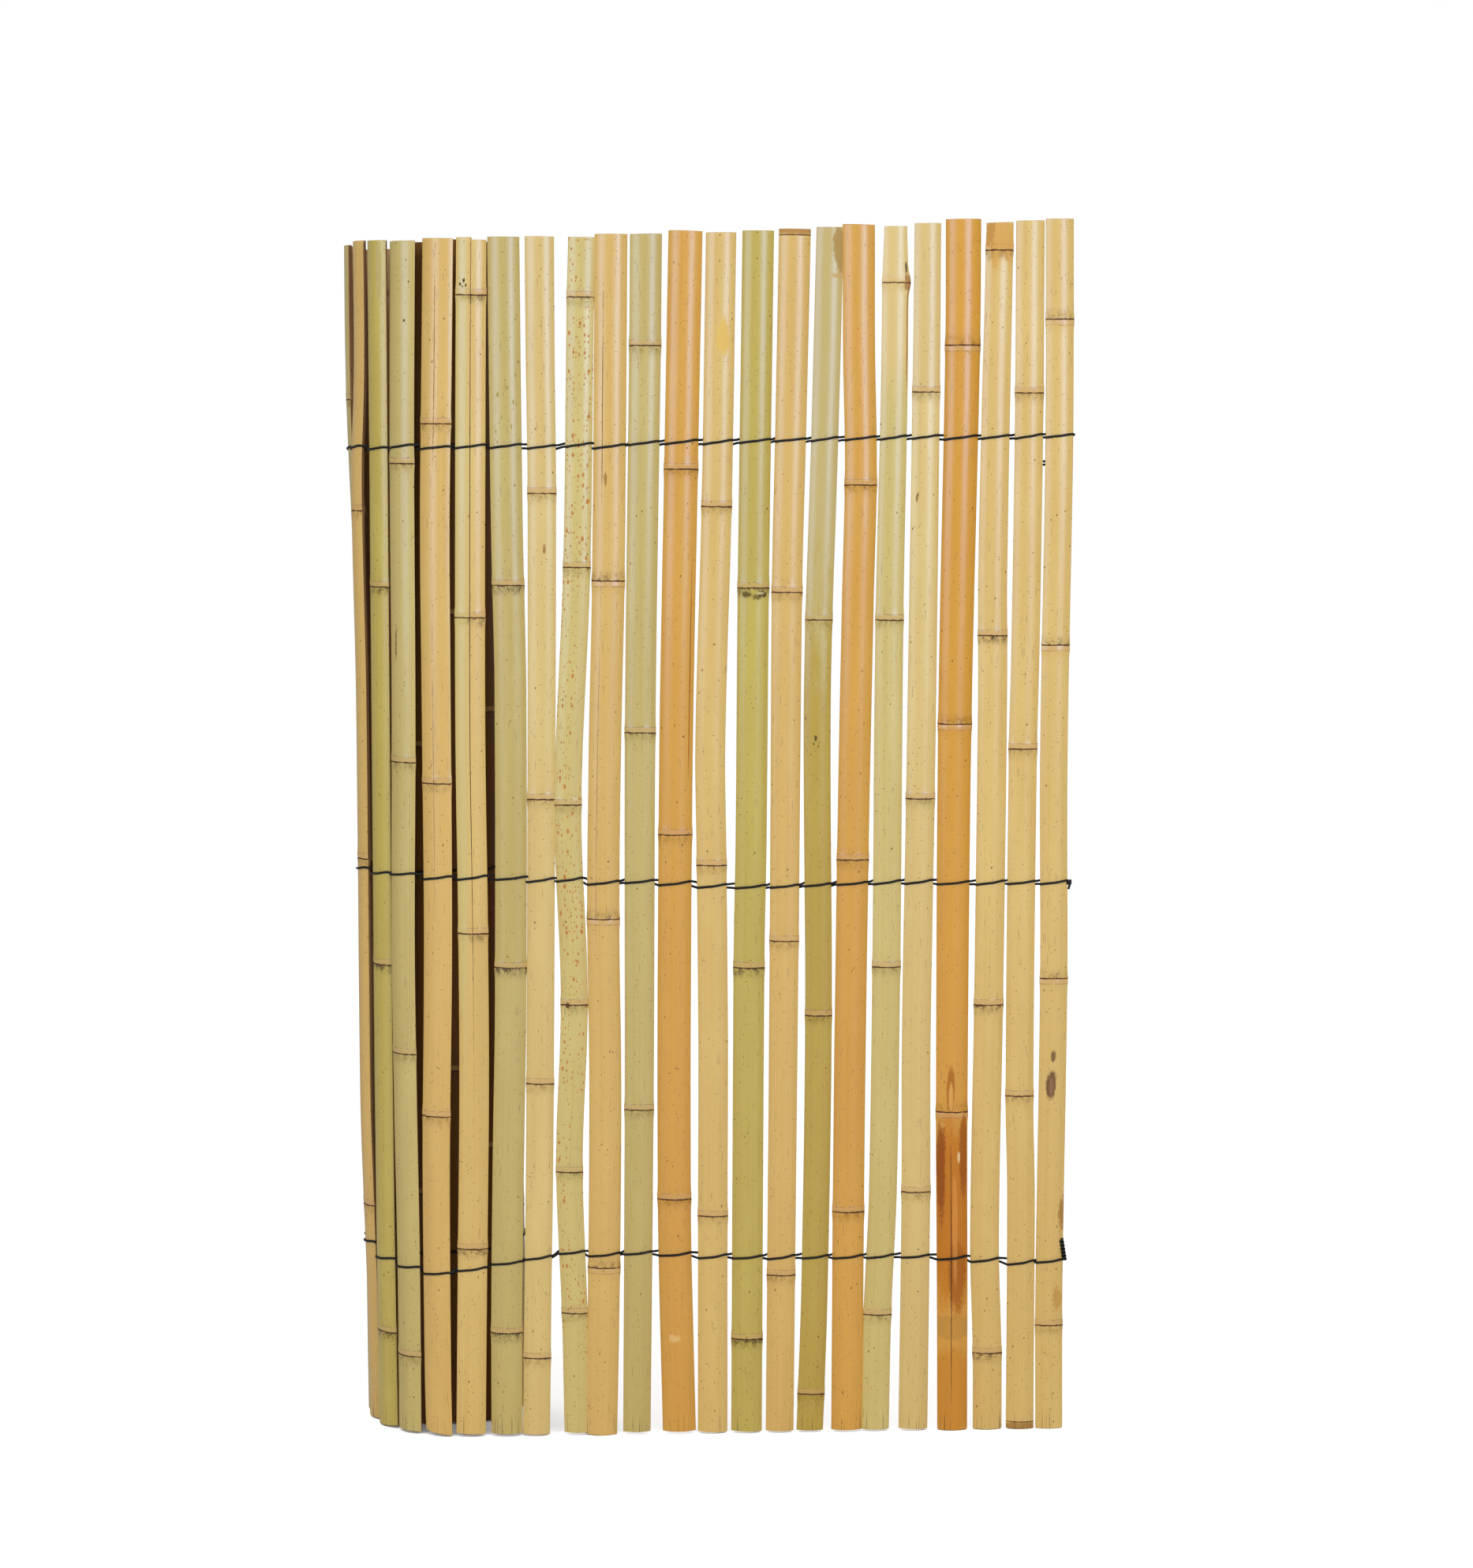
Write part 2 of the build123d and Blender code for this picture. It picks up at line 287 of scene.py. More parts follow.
def joint_rise(slat, shape, height):
    """How far the slat's joints stand out at a height."""
    rises = zip(slat.joints, swells[slat.name])
    return sum(swell * shape_at(shape, (height - scar) * growth) for (scar, growth), swell in rises)


def row_heights(slat):
    """The heights of the mesh rows: even between the joints and close together at them."""
    rows = {0.0, END_ROW, slat.length - END_ROW, slat.length}
    for scar, growth in slat.joints:
        for distance, _ in SCAR_SHAPE:
            height = scar + growth * distance * MM
            if END_ROW < height < slat.length - END_ROW:
                rows.add(height)
    ordered = sorted(rows)
    for low, high in zip(ordered, ordered[1:]):
        steps = round((high - low) / ROW_STEP)
        rows.update(low + (high - low) * step / steps for step in range(1, steps))
    return sorted(rows)


print("rows of the first slat:", len(row_heights(slats[0])))

# %% [markdown]
# ## A slat, turned like a cane
# A lathe makes a cane's form best: one cut edge of the slat is drawn as a ladder of quads, from the
# foot to the head, and spun about the cane's axis through the slat's own angle. The spin keeps the
# first ladder and leaves the last one as the other cut edge, so the strip is closed at once. A small
# bevel takes the sharpness off the cut edges, as handling does.

# %% Ladder, spin and bevel
COLUMNS = 22
EDGE_BEVEL = 0.35 * MM
SHARP = math.radians(35)
ANGLE_SLACK = 1e-4


def cane_place(slat, point):
    """A point's height up the cane, its angle from the crown, to the right, and its radius."""
    rise = point - slat.foot
    height = rise.dot(slat.axis)
    spoke = rise - slat.axis * height
    return height, math.atan2(spoke.dot(slat.right), spoke.dot(slat.out)), spoke.length


def cane_point(slat, height, angle, radius):
    """The point at a height, angle and radius of the slat's cane."""
    spoke = slat.out * math.cos(angle) + slat.right * math.sin(angle)
    return slat.foot + slat.axis * height + spoke * radius


def ladder(bm, slat):
    """The left cut edge as a strip of quads, with the joints' swellings on both sides."""

    def rung(height):
        skin = slat.radius + joint_rise(slat, SCAR_SHAPE, height)
        lining = slat.radius - slat.wall - joint_rise(slat, STUB_SHAPE, height)
        return [cane_point(slat, height, -slat.half, radius) for radius in (skin, lining)]

    heights = row_heights(slat)
    edge = bm.edges.new([bm.verts.new(point) for point in rung(heights[0])])
    for height in heights[1:]:
        grown = bmesh.ops.extrude_edge_only(bm, edges=[edge])["geom"]
        edge = next(item for item in grown if isinstance(item, bmesh.types.BMEdge))
        by_radius = sorted(edge.verts, key=lambda v: -cane_place(slat, v.co)[2])
        for vert, point in zip(by_radius, rung(height)):
            vert.co = point


def worn_edges(bm, slat):
    """The sharp edges along the two cuts and round the two ends."""
    for edge in bm.edges:
        if edge.calc_face_angle(0) < SHARP:
            continue
        places = [cane_place(slat, v.co) for v in edge.verts]
        on_cut = all(abs(abs(angle) - slat.half) < ANGLE_SLACK for _, angle, _ in places)
        on_foot = all(height < END_ROW / 2 for height, _, _ in places)
        on_head = all(height > slat.length - END_ROW / 2 for height, _, _ in places)
        if on_cut or on_foot or on_head:
            yield edge


def turn_slat(slat):
    """The closed strip, with its cut edges and ends eased."""
    bm = bmesh.new()
    ladder(bm, slat)
    bmesh.ops.spin(
        bm, geom=bm.verts[:] + bm.edges[:] + bm.faces[:], cent=slat.foot, axis=slat.axis,
        angle=2 * slat.half, steps=COLUMNS, use_merge=False, use_duplicate=False,
    )
    bmesh.ops.recalc_face_normals(bm, faces=bm.faces[:])
    bmesh.ops.bevel(
        bm, geom=list(worn_edges(bm, slat)), offset=EDGE_BEVEL, segments=2, profile=0.5,
        affect="EDGES", material=-1,
    )
    return bm


trial = turn_slat(slats[0])
print("faces of a turned slat:", len(trial.faces))
trial.free()

# %% [markdown]
# ## Which surface is which
# A slat shows four surfaces: the waxy skin, the raw cut edges, the papery lining and the sawn ends.
# Each gets a material of its own, by where its face lies on the cane. Two UV maps are drawn while the
# slat is still straight. The first is the cane unrolled, in metres. The second holds the distance
# from the nearest scar and a number that is the same all over one internode, so that each internode
# can have its own streaks.

# %% Surfaces and UV maps
SKIN, CUT, LINING, END = range(4)
CUT_MARGIN = 0.6 * EDGE_BEVEL


def draw_maps(bm, slat):
    """Give each face its surface and its two maps."""
    cane_map = bm.loops.layers.uv.new("cane")
    growth_map = bm.loops.layers.uv.new("growth")
    scars = [scar for scar, _ in slat.joints]
    tones = [rng.random() for _ in range(len(scars) + 1)]
    for face in bm.faces:
        height, angle, radius = cane_place(slat, face.calc_center_median())
        at_end = height < END_ROW / 2 or height > slat.length - END_ROW / 2
        if at_end and abs(face.normal.dot(slat.axis)) > 0.5:
            face.material_index = END
        elif abs(angle) > slat.half - CUT_MARGIN / slat.radius:
            face.material_index = CUT
        elif radius > slat.radius - slat.wall / 2:
            face.material_index = SKIN
        else:
            face.material_index = LINING
        face.smooth = face.material_index != END
        tone = tones[bisect_left(scars, height)]
        scar, growth = min(slat.joints, key=lambda joint: abs(joint[0] - height))
        for loop in face.loops:
            h, a, r = cane_place(slat, loop.vert.co)
            across = r if face.material_index == CUT else a * slat.radius
            up = r if face.material_index == END else h
            loop[cane_map].uv = (across, up)
            loop[growth_map].uv = ((h - scar) * growth, tone)


print("surfaces: skin, cut edge, lining, end")

# %% [markdown]
# ## Crooks, worn ends and uneven skin
# Now the straight strip is bent along its crook and narrowed or widened along its length. It flares a
# little at its joints. Its skin gets a waviness of a tenth of a millimetre, which is what makes a
# highlight on real cane wander. The saw didn't cut the ends quite square, so each end falls away
# towards one side. One slat has a bud at its upper joint. Another has split down its middle, and its
# right half stands lower.

# %% Bend the slats and put them in the scene
WAVE = 0.12 * MM
WAVE_ACROSS = 70
WAVE_ALONG = 14
WAVE_SEED = 7.3
FLARE = 0.03
FLARE_REACH = 6 * MM
SAW_SLANT = 0.7 * MM
SLANTS = {"slat_19": (-3.2, 0.3), "slat_21": (2.5, 0.5), "slat_03": (0.5, -0.8)}
END_ZONE = 10 * MM
HEAD_EASE = 0.02 * MM
BUD = {"slat": "slat_06", "share": 0.955, "reach": 9 * MM, "size": 1.7 * MM}
SPLIT = {"slat": "slat_18", "drop": 2 * MM}


def saw_slants(slat):
    """How far the foot and the head fall away to the right, or to the left where it is below 0."""
    if slat.name in SLANTS:
        return [slant * MM for slant in SLANTS[slat.name]]
    return [rng.uniform(-SAW_SLANT, SAW_SLANT) for _ in range(2)]


def bend_slat(bm, slat, seed):
    """Move the points of a straight slat to the shape that it has in the mat."""
    at_foot, at_head = saw_slants(slat)
    for vert in bm.verts:
        height, angle, radius = cane_place(slat, vert.co)
        flare = max(math.exp(-((height - scar) / FLARE_REACH) ** 2) for scar, _ in slat.joints)
        bent = angle * width_at(slat, height) * (1 + FLARE * flare)
        spot = Vector((angle * slat.radius * WAVE_ACROSS, height * WAVE_ALONG, seed))
        swell = WAVE * noise.noise(spot) if radius > slat.radius - EDGE_BEVEL else 0.0
        side = angle / slat.half
        near_foot = max(1 - height / END_ZONE, 0)
        near_head = max(1 - (slat.length - height) / END_ZONE, 0)
        rise = near_foot * abs(at_foot) * (1 + math.copysign(side, at_foot * side)) / 2
        drop = near_head * abs(at_head) * (1 + math.copysign(side, at_head * side)) / 2
        drop += near_head * HEAD_EASE
        if slat.name == SPLIT["slat"] and side > 0.02:
            drop += near_head * SPLIT["drop"]
        shift = bend_at(slat, height)
        if slat.name == BUD["slat"] and side > 0:
            from_bud = (height - BUD["share"] * slat.length) / BUD["reach"]
            shift += slat.right * BUD["size"] * side ** 2 * math.exp(-from_bud ** 2)
        vert.co = cane_point(slat, height + rise - drop, bent, radius + swell) + shift


def add_piece(name, mesh, slot, *nodes):
    """Put a finished mesh in the scene, on the mat's one body."""
    piece = show(bpy.data.objects.new(name, mesh))
    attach(piece, "root")
    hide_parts(*nodes)
    return piece


slot_of = {row["node"]: row["material_slot"] for row in frame["record"]["subparts"]}
pieces = {}
for number, slat in enumerate(slats):
    bm = turn_slat(slat)
    draw_maps(bm, slat)
    bend_slat(bm, slat, number * WAVE_SEED)
    mesh = bpy.data.meshes.new(f"split_{slat.name}")
    bm.to_mesh(mesh)
    bm.free()
    piece = add_piece(f"split_{slat.name}", mesh, slot_of[slat.name], slat.name)
    piece.modifiers.new("even shading", "WEIGHTED_NORMAL").keep_sharp = True
    pieces[slat.name] = piece
print("slats made:", len(pieces), "faces in all:", sum(len(p.data.polygons) for p in pieces.values()))

# %% [markdown]
# ## Wiring a material
# A material is a graph, and a graph is easier to read when each node is one short call. These helpers
# make a node and fill its sockets: each gets a value, or is joined to another node's output.

# %% Helpers for node graphs
def srgb(red, green, blue):
    """A colour as it is seen on a screen, from 0 to 255, in the linear values that shaders use."""
    linear = []
    for value in (red, green, blue):
        share = value / 255
        linear.append(share / 12.92 if share <= 0.04045 else ((share + 0.055) / 1.055) ** 2.4)
    return (*linear, 1.0)


def feed(tree, node, **sockets):
    """Fill a node's sockets. They are named by their words, or s0, s1 and so on by their place."""
    for name, value in sockets.items():
        by_place = name[0] == "s" and name[1:].isdigit()
        socket = node.inputs[int(name[1:]) if by_place else name.replace("_", " ")]
        if isinstance(value, bpy.types.NodeSocket):
            tree.links.new(value, socket)
        else:
            socket.default_value = value


def wire_node(tree, kind, options=None, **sockets):
    """Make one shader node, set its options and fill its sockets."""
    node = tree.nodes.new("ShaderNode" + kind)
    for name, value in (options or {}).items():
        setattr(node, name, value)
    feed(tree, node, **sockets)
    return node


def sums(tree, operation, first, second=0.0, third=0.0):
    """One step of arithmetic."""
    options = {"operation": operation}
    return wire_node(tree, "Math", options, s0=first, s1=second, s2=third).outputs[0]


def ramp(tree, value, low, high, start=0.0, end=1.0):
    """A value eased from start to end while it goes from low to high."""
    options = {"interpolation_type": "SMOOTHSTEP"}
    sockets = {"s0": value, "s1": low, "s2": high, "s3": start, "s4": end}
    return wire_node(tree, "MapRange", options, **sockets).outputs[0]


def blend(tree, mask, first, second, mode="MIX"):
    """Two colours mixed by a mask."""
    options = {"data_type": "RGBA", "blend_type": mode}
    return wire_node(tree, "Mix", options, s0=mask, s6=first, s7=second).outputs[2]


def bumped(tree, relief, strength, depth):
    """The normal of a surface with a little relief."""
    return wire_node(tree, "Bump", s0=strength, s1=depth, Height=relief).outputs[0]


def vector_sum(tree, operation, first, second):
    """One step of arithmetic on places."""
    return wire_node(tree, "VectorMath", {"operation": operation}, s0=first, s1=second).outputs[0]


def stretched(tree, vector, across, along):
    """A place on the unrolled cane, with its two directions scaled apart."""
    return vector_sum(tree, "MULTIPLY", vector, (across, along, 1.0))


def moved(tree, vector, seed):
    """A place moved off by a seed, so that each seed shows another part of a pattern."""
    shift = wire_node(tree, "CombineXYZ", X=seed, Y=sums(tree, "MULTIPLY", seed, 3.7))
    return vector_sum(tree, "ADD", vector, shift.outputs[0])


def noise_at(tree, vector, seed, detail=3.0, roughness=0.55):
    """Noise from 0 to 1 at a place, different for each seed."""
    return wire_node(
        tree, "TexNoise", {"noise_dimensions": "2D"}, Vector=moved(tree, vector, seed),
        Scale=1.0, Detail=detail, Roughness=roughness,
    ).outputs[0]


def new_group(name, inputs, outputs):
    """An empty shader group with named sockets: its tree, what it is given and where results go."""
    group = bpy.data.node_groups.new(name, "ShaderNodeTree")
    kinds = {"v": "NodeSocketVector", "f": "NodeSocketFloat"}
    for label, kind in inputs:
        group.interface.new_socket(label, in_out="INPUT", socket_type=kinds[kind])
    for label in outputs:
        group.interface.new_socket(label, in_out="OUTPUT", socket_type="NodeSocketFloat")
    return group, group.nodes.new("NodeGroupInput").outputs, group.nodes.new("NodeGroupOutput").inputs


print("node helpers ready")

# %% [markdown]
# ## Fibres
# Under its wax, cane is a bundle of fibres that run its whole length. They show as broad pale and dark
# streaks a few millimetres wide, and as fine lines between. Noise that is stretched a hundred times
# along the cane draws both. All the cane's surfaces share this group.

# %% Group: fibre streaks
fibres, given, result = new_group("Cane fibres", [("Cane", "v"), ("Seed", "f")], ["Broad", "Fine", "Cloud"])
broad = noise_at(fibres, stretched(fibres, given["Cane"], 260, 2.2), given["Seed"], 2.0)
fine = noise_at(fibres, stretched(fibres, given["Cane"], 1500, 9), given["Seed"], 3.0, 0.6)
cloud = noise_at(fibres, stretched(fibres, given["Cane"], 40, 9), given["Seed"], 3.0)
for label, value in (("Broad", broad), ("Fine", fine), ("Cloud", cloud)):
    fibres.links.new(value, result[label])
print("group made:", fibres.name)

# %% [markdown]
# ## Joints in colour
# The scar is a thin dark line, the ridge beyond it a fainter one, and the band between them is a little
# browner than the cane. Soot and mould gather in specks on the other side of the scar. All of it is
# drawn over the second map's distance from the scar, in millimetres, with a little wander so that no
# line is ruled.

# %% Group: joint marks
tree, given, result = new_group(
    "Joint marks", [("Growth", "v"), ("Cane", "v"), ("Seed", "f")],
    ["Scar", "Band", "Ridge", "Soot", "Shade"],
)
joint_marks = tree
along = wire_node(tree, "SeparateXYZ", Vector=given["Growth"]).outputs[0]
wander = noise_at(tree, stretched(tree, given["Cane"], 200, 20), given["Seed"], 2.0)
grit = noise_at(tree, stretched(tree, given["Cane"], 1400, 1400), given["Seed"], 2.0)
patches = noise_at(tree, stretched(tree, given["Cane"], 250, 150), given["Seed"], 2.0)
distance = sums(tree, "MULTIPLY_ADD", along, 1000.0, -0.45)
distance = sums(tree, "MULTIPLY_ADD", wander, 0.9, distance)
scar_width = sums(tree, "MULTIPLY_ADD", patches, 0.8, 0.2)
from_scar = sums(tree, "DIVIDE", sums(tree, "ABSOLUTE", distance), scar_width)
scar = ramp(tree, from_scar, 0.6, 1.3, 1.0, 0.0)
band = sums(tree, "MULTIPLY", ramp(tree, distance, -0.1, 0.5), ramp(tree, distance, 3.8, 5.2, 1.0, 0.0))
from_ridge = sums(tree, "ABSOLUTE", sums(tree, "SUBTRACT", distance, 4.7))
ridge = sums(tree, "MULTIPLY", ramp(tree, from_ridge, 0.1, 0.6, 1.0, 0.0), ramp(tree, patches, 0.35, 0.55))
near_scar = ramp(tree, distance, -11.0, -0.8)
soot_zone = sums(tree, "MULTIPLY", near_scar, ramp(tree, distance, -0.3, 0.3, 1.0, 0.0))
soot_grain = sums(tree, "MULTIPLY_ADD", patches, 0.6, grit)
soot = sums(tree, "MULTIPLY", soot_zone, ramp(tree, soot_grain, 0.8, 0.89))
shade = sums(tree, "MULTIPLY", ramp(tree, distance, -16.0, -1.0), ramp(tree, distance, 5.0, 16.0, 1.0, 0.0))
for label, value in (("Scar", scar), ("Band", band), ("Ridge", ridge), ("Soot", soot), ("Shade", shade)):
    tree.links.new(value, result[label])
print("group made:", joint_marks.name)

# %% [markdown]
# ## Specks and marks
# Dark specks are strewn over every cane, a little longer than wide. A cell texture makes them: each cell
# has a speck at its middle, and only the cells that a die picks show theirs. Single marks, such as a
# scar or a stain, are ragged ovals at a given place on the unrolled cane.

# %% Groups: specks and ovals
tree, given, result = new_group(
    "Cane specks", [("Cane", "v"), ("Seed", "f"), ("Across", "f"), ("Along", "f"), ("Share", "f")],
    ["Speck"],
)
specks = tree
scale = wire_node(tree, "CombineXYZ", X=given["Across"], Y=given["Along"]).outputs[0]
spread = vector_sum(tree, "MULTIPLY", given["Cane"], scale)
cells = wire_node(
    tree, "TexVoronoi", {"voronoi_dimensions": "2D"}, Scale=1.0, Randomness=1.0,
    Vector=moved(tree, spread, given["Seed"]),
)
dice = wire_node(tree, "SeparateColor", Color=cells.outputs["Color"])
picked = sums(tree, "LESS_THAN", dice.outputs[0], given["Share"])
size = sums(tree, "MULTIPLY_ADD", dice.outputs[1], 0.25, 0.08)
inside = ramp(tree, sums(tree, "DIVIDE", cells.outputs["Distance"], size), 0.6, 1.1, 1.0, 0.0)
tree.links.new(sums(tree, "MULTIPLY", inside, picked), result["Speck"])

tree, given, result = new_group(
    "Ragged oval", [("Cane", "v"), ("Place", "v"), ("Size", "v"), ("Ragged", "f")], ["Mask"],
)
oval = tree
apart = vector_sum(tree, "SUBTRACT", given["Cane"], given["Place"])
share = vector_sum(tree, "DIVIDE", apart, given["Size"])
reach = wire_node(tree, "VectorMath", {"operation": "LENGTH"}, s0=share).outputs["Value"]
frayed = noise_at(tree, stretched(tree, given["Cane"], 900, 260), 0.0, 3.0, 0.65)
uneven = noise_at(tree, stretched(tree, given["Cane"], 130, 26), 0.0, 2.0)
rag = sums(tree, "SUBTRACT", sums(tree, "ADD", frayed, uneven), 1.0)
rag = sums(tree, "MULTIPLY", rag, given["Ragged"])
reach = sums(tree, "MULTIPLY_ADD", rag, 2.0, reach)
tree.links.new(ramp(tree, reach, 0.65, 1.08, 1.0, 0.0), result["Mask"])
print("groups made:", specks.name, oval.name)

# %% [markdown]
# ## The skin of a cane
# The skin is hard and slightly glossy, and its wax gives the shine a cool tint. Its tone goes from straw
# to amber or to the green of young cane, and one function makes all of them from a single tone: streaks
# are deeper, clouds are paler, and towards the foot the colour is deepened and warmed as painted shade,
# where less of the lamps' sheen falls. Specks and scratches are strewn in four sizes, and short splits
# run up from the foot. Marks are a list of ovals with their own colours, painted over the skin.

# %% Skin material
Mark = namedtuple("Mark", "place size ragged colour strength")
SCAR_BROWN = srgb(78, 46, 30)
RIDGE_BROWN = srgb(132, 90, 56)
BAND_TONE = srgb(208, 164, 104)
SPECK_BROWN = srgb(104, 62, 28)
SCRATCH_BROWN = srgb(150, 106, 60)
SOOT_BROWN = srgb(50, 36, 26)
RUST = srgb(182, 102, 34)
WAX_SHEEN = (0.4, 0.62, 1.0, 1.0)
# Painted shade: the tint that deepens and warms the skin towards the foot.
FOOT_SHADE_TINT = (1.0, 0.965, 0.89, 1.0)
WEAR_HEIGHT = 120 * MM
DEEPER = (0.87, 0.8, 0.64)
PALER = (1.04, 1.07, 1.12)
SEED_SPREAD = 61.0
SHINE, WORN_SHINE, INNER_SLAT_SHINE = 0.85, 0.2, 0.1
WORN_ROUGHNESS = 0.3


def shaded(colour, red, green, blue):
    """A colour with its three parts scaled."""
    return (colour[0] * red, colour[1] * green, colour[2] * blue, 1.0)


def blank_material(name):
    """A new material, its tree and its shader."""
    material = bpy.data.materials.new(name)
    material.use_nodes = True
    return material, material.node_tree, material.node_tree.nodes["Principled BSDF"]


def cane_material(name):
    """A new material with what the maps of a slat give: the unrolled cane, growth, tone and seed."""
    material, tree, shader = blank_material(name)
    cane = wire_node(tree, "UVMap", {"uv_map": "cane"}).outputs[0]
    growth = wire_node(tree, "UVMap", {"uv_map": "growth"}).outputs[0]
    tone = wire_node(tree, "SeparateXYZ", Vector=growth).outputs[1]
    seed = sums(tree, "MULTIPLY", tone, SEED_SPREAD)
    return material, tree, shader, cane, growth, tone, seed


def place_group(tree, group, **sockets):
    """One of the shared groups, joined to this material."""
    return wire_node(tree, "Group", {"node_tree": group}, **sockets).outputs


def paint(tree, colour, mask, strength, coat):
    """A coat of another colour over a colour, where a mask shows."""
    return blend(tree, sums(tree, "MULTIPLY", mask, strength), colour, coat)


def cane_skin(name, common, soot=0.5, rust=0.0, shine=SHINE, marks=()):
    """The waxy skin in one tone, with its joints, specks and marks."""
    material, tree, shader, cane, growth, tone, seed = cane_material(name)
    deep = shaded(common, *DEEPER)
    pale = shaded(common, *PALER)
    height = wire_node(tree, "SeparateXYZ", Vector=cane).outputs[1]
    streaks = place_group(tree, fibres, Cane=cane, Seed=seed)
    joints = place_group(tree, joint_marks, Growth=growth, Cane=cane, Seed=seed)

    def strewn(across, along, share):
        """Specks of one size: cells to a metre across and along, and the share of cells with one."""
        sockets = {"Cane": cane, "Seed": seed, "Across": across, "Along": along, "Share": share}
        return place_group(tree, specks, **sockets)["Speck"]

    colour = blend(tree, ramp(tree, streaks["Broad"], 0.4, 0.75, 0.0, 0.4), common, deep)
    colour = blend(tree, ramp(tree, streaks["Cloud"], 0.42, 0.75, 0.0, 0.8), colour, pale)
    colour = blend(tree, ramp(tree, streaks["Fine"], 0.56, 0.74, 0.0, 0.25), colour, deep)
    colour = paint(tree, colour, ramp(tree, tone, 0.0, 1.0), 0.25, deep)
    # Painted shade: the colour is deepened and warmed towards the foot, where less of the lamps' sheen
    # falls.
    colour = blend(tree, ramp(tree, height, 0.1, 0.75, 1.0, 0.0), colour, FOOT_SHADE_TINT, "MULTIPLY")
    worn = sums(tree, "MAXIMUM", joints["Soot"], joints["Scar"])
    if rust:
        spots = sums(tree, "MAXIMUM", strewn(240.0, 130.0, rust), strewn(420.0, 240.0, rust))
        spots = sums(tree, "MULTIPLY", spots, ramp(tree, streaks["Cloud"], 0.38, 0.5))
        colour = paint(tree, colour, spots, 0.8, RUST)
        worn = sums(tree, "MAXIMUM", worn, spots)
    dots = sums(tree, "MAXIMUM", strewn(430.0, 280.0, 0.014), strewn(760.0, 520.0, 0.045))
    worn = sums(tree, "MAXIMUM", worn, dots)
    coats = (
        (joints["Shade"], 0.25, deep), (joints["Band"], 0.45, BAND_TONE),
        (strewn(650.0, 60.0, 0.06), 0.4, SCRATCH_BROWN), (strewn(110.0, 900.0, 0.012), 0.4, SCRATCH_BROWN),
        (dots, 0.85, SPECK_BROWN), (joints["Soot"], soot, SOOT_BROWN), (joints["Ridge"], 0.5, RIDGE_BROWN),
    )
    for mask, strength, coat in coats:
        colour = paint(tree, colour, mask, strength, coat)
    for mark in marks:
        place, size = (*mark.place, 0.0), (*mark.size, 1.0)
        mask = place_group(tree, oval, Cane=cane, Place=place, Size=size, Ragged=mark.ragged)["Mask"]
        colour = paint(tree, colour, mask, mark.strength, srgb(*mark.colour))
        if mark.size[1] < WEAR_HEIGHT:
            worn = sums(tree, "MAXIMUM", worn, mask)
    splits = ramp(tree, noise_at(tree, stretched(tree, cane, 700, 6), seed, 1.0), 0.68, 0.72)
    at_foot = ramp(tree, height, 0.004, 0.02, 0.7, 0.0)
    colour = paint(tree, colour, splits, at_foot, SCAR_BROWN)
    colour = paint(tree, colour, joints["Scar"], 0.95, SCAR_BROWN)
    rough = sums(tree, "MULTIPLY_ADD", streaks["Fine"], 0.16, 0.21)
    rough = sums(tree, "MULTIPLY_ADD", worn, WORN_ROUGHNESS, rough)
    gloss = ramp(tree, worn, 0.0, 1.0, shine, WORN_SHINE)
    grain = sums(tree, "MULTIPLY_ADD", streaks["Broad"], 0.5, streaks["Fine"])
    normal = bumped(tree, sums(tree, "SUBTRACT", grain, dots), 0.14, 0.2 * MM)
    feed(tree, shader, Base_Color=colour, Roughness=rough, Normal=normal)
    feed(tree, shader, Specular_IOR_Level=gloss, Specular_Tint=WAX_SHEEN)
    return material


print("skin recipe ready")

# %% [markdown]
# ## Finishes and the marks of single slats
# Ten tones cover all the slats. The darkest is painted shade: it darkens the four slats inside the roll,
# which show through the gaps. The marks that make single slats known by sight are placed on the unrolled
# cane: millimetres to the right of the crown, and over the foot.

# %% Skins
STRAW, HONEY, CREAM = srgb(220, 187, 109), srgb(219, 182, 102), srgb(220, 193, 122)
AMBER, RUSSET = srgb(216, 163, 64), srgb(215, 157, 46)
LIME, SAGE = srgb(210, 190, 117), srgb(199, 179, 107)
# The darkest brown is painted shade, for the slats inside the roll that show through the gaps.
OLIVE, MOSS, INNER_SHADE_BROWN = srgb(195, 174, 80), srgb(188, 161, 62), srgb(116, 80, 38)
TONE_ORDER = (
    STRAW, STRAW, STRAW, RUSSET, CREAM, LIME, AMBER, MOSS, HONEY, OLIVE, STRAW, AMBER,
    SAGE, HONEY, LIME, CREAM, SAGE, STRAW, HONEY, SAGE, OLIVE, HONEY, SAGE,
    STRAW, HONEY, CREAM, SAGE, STRAW, HONEY, STRAW, INNER_SHADE_BROWN, INNER_SHADE_BROWN, INNER_SHADE_BROWN, INNER_SHADE_BROWN,
)
SOOTY = {"slat_03": 0.9, "slat_10": 1.0, "slat_14": 0.7, "slat_17": 1.0, "slat_18": 0.8, "slat_21": 1.0}
RUSTY = {"slat_15": 0.32}
DARK_BROWN, NUT, UMBER = (70, 40, 18), (148, 100, 50), (140, 68, 14)
OLD_SCAR, TAN, MOULD = (94, 64, 44), (172, 116, 54), (48, 36, 24)
BRUISE = (154, 136, 68)


def mark(across, up, half_width, half_height, ragged, colour, strength):
    """An oval mark on a slat's skin, in millimetres."""
    return Mark((across * MM, up * MM), (half_width * MM, half_height * MM), ragged, colour, strength)


def blots(colour, ragged, *spots):
    """Marks of one colour, each with its place, its half sizes and its strength."""
    return [mark(*spot[:4], ragged, colour, spot[4]) for spot in spots]


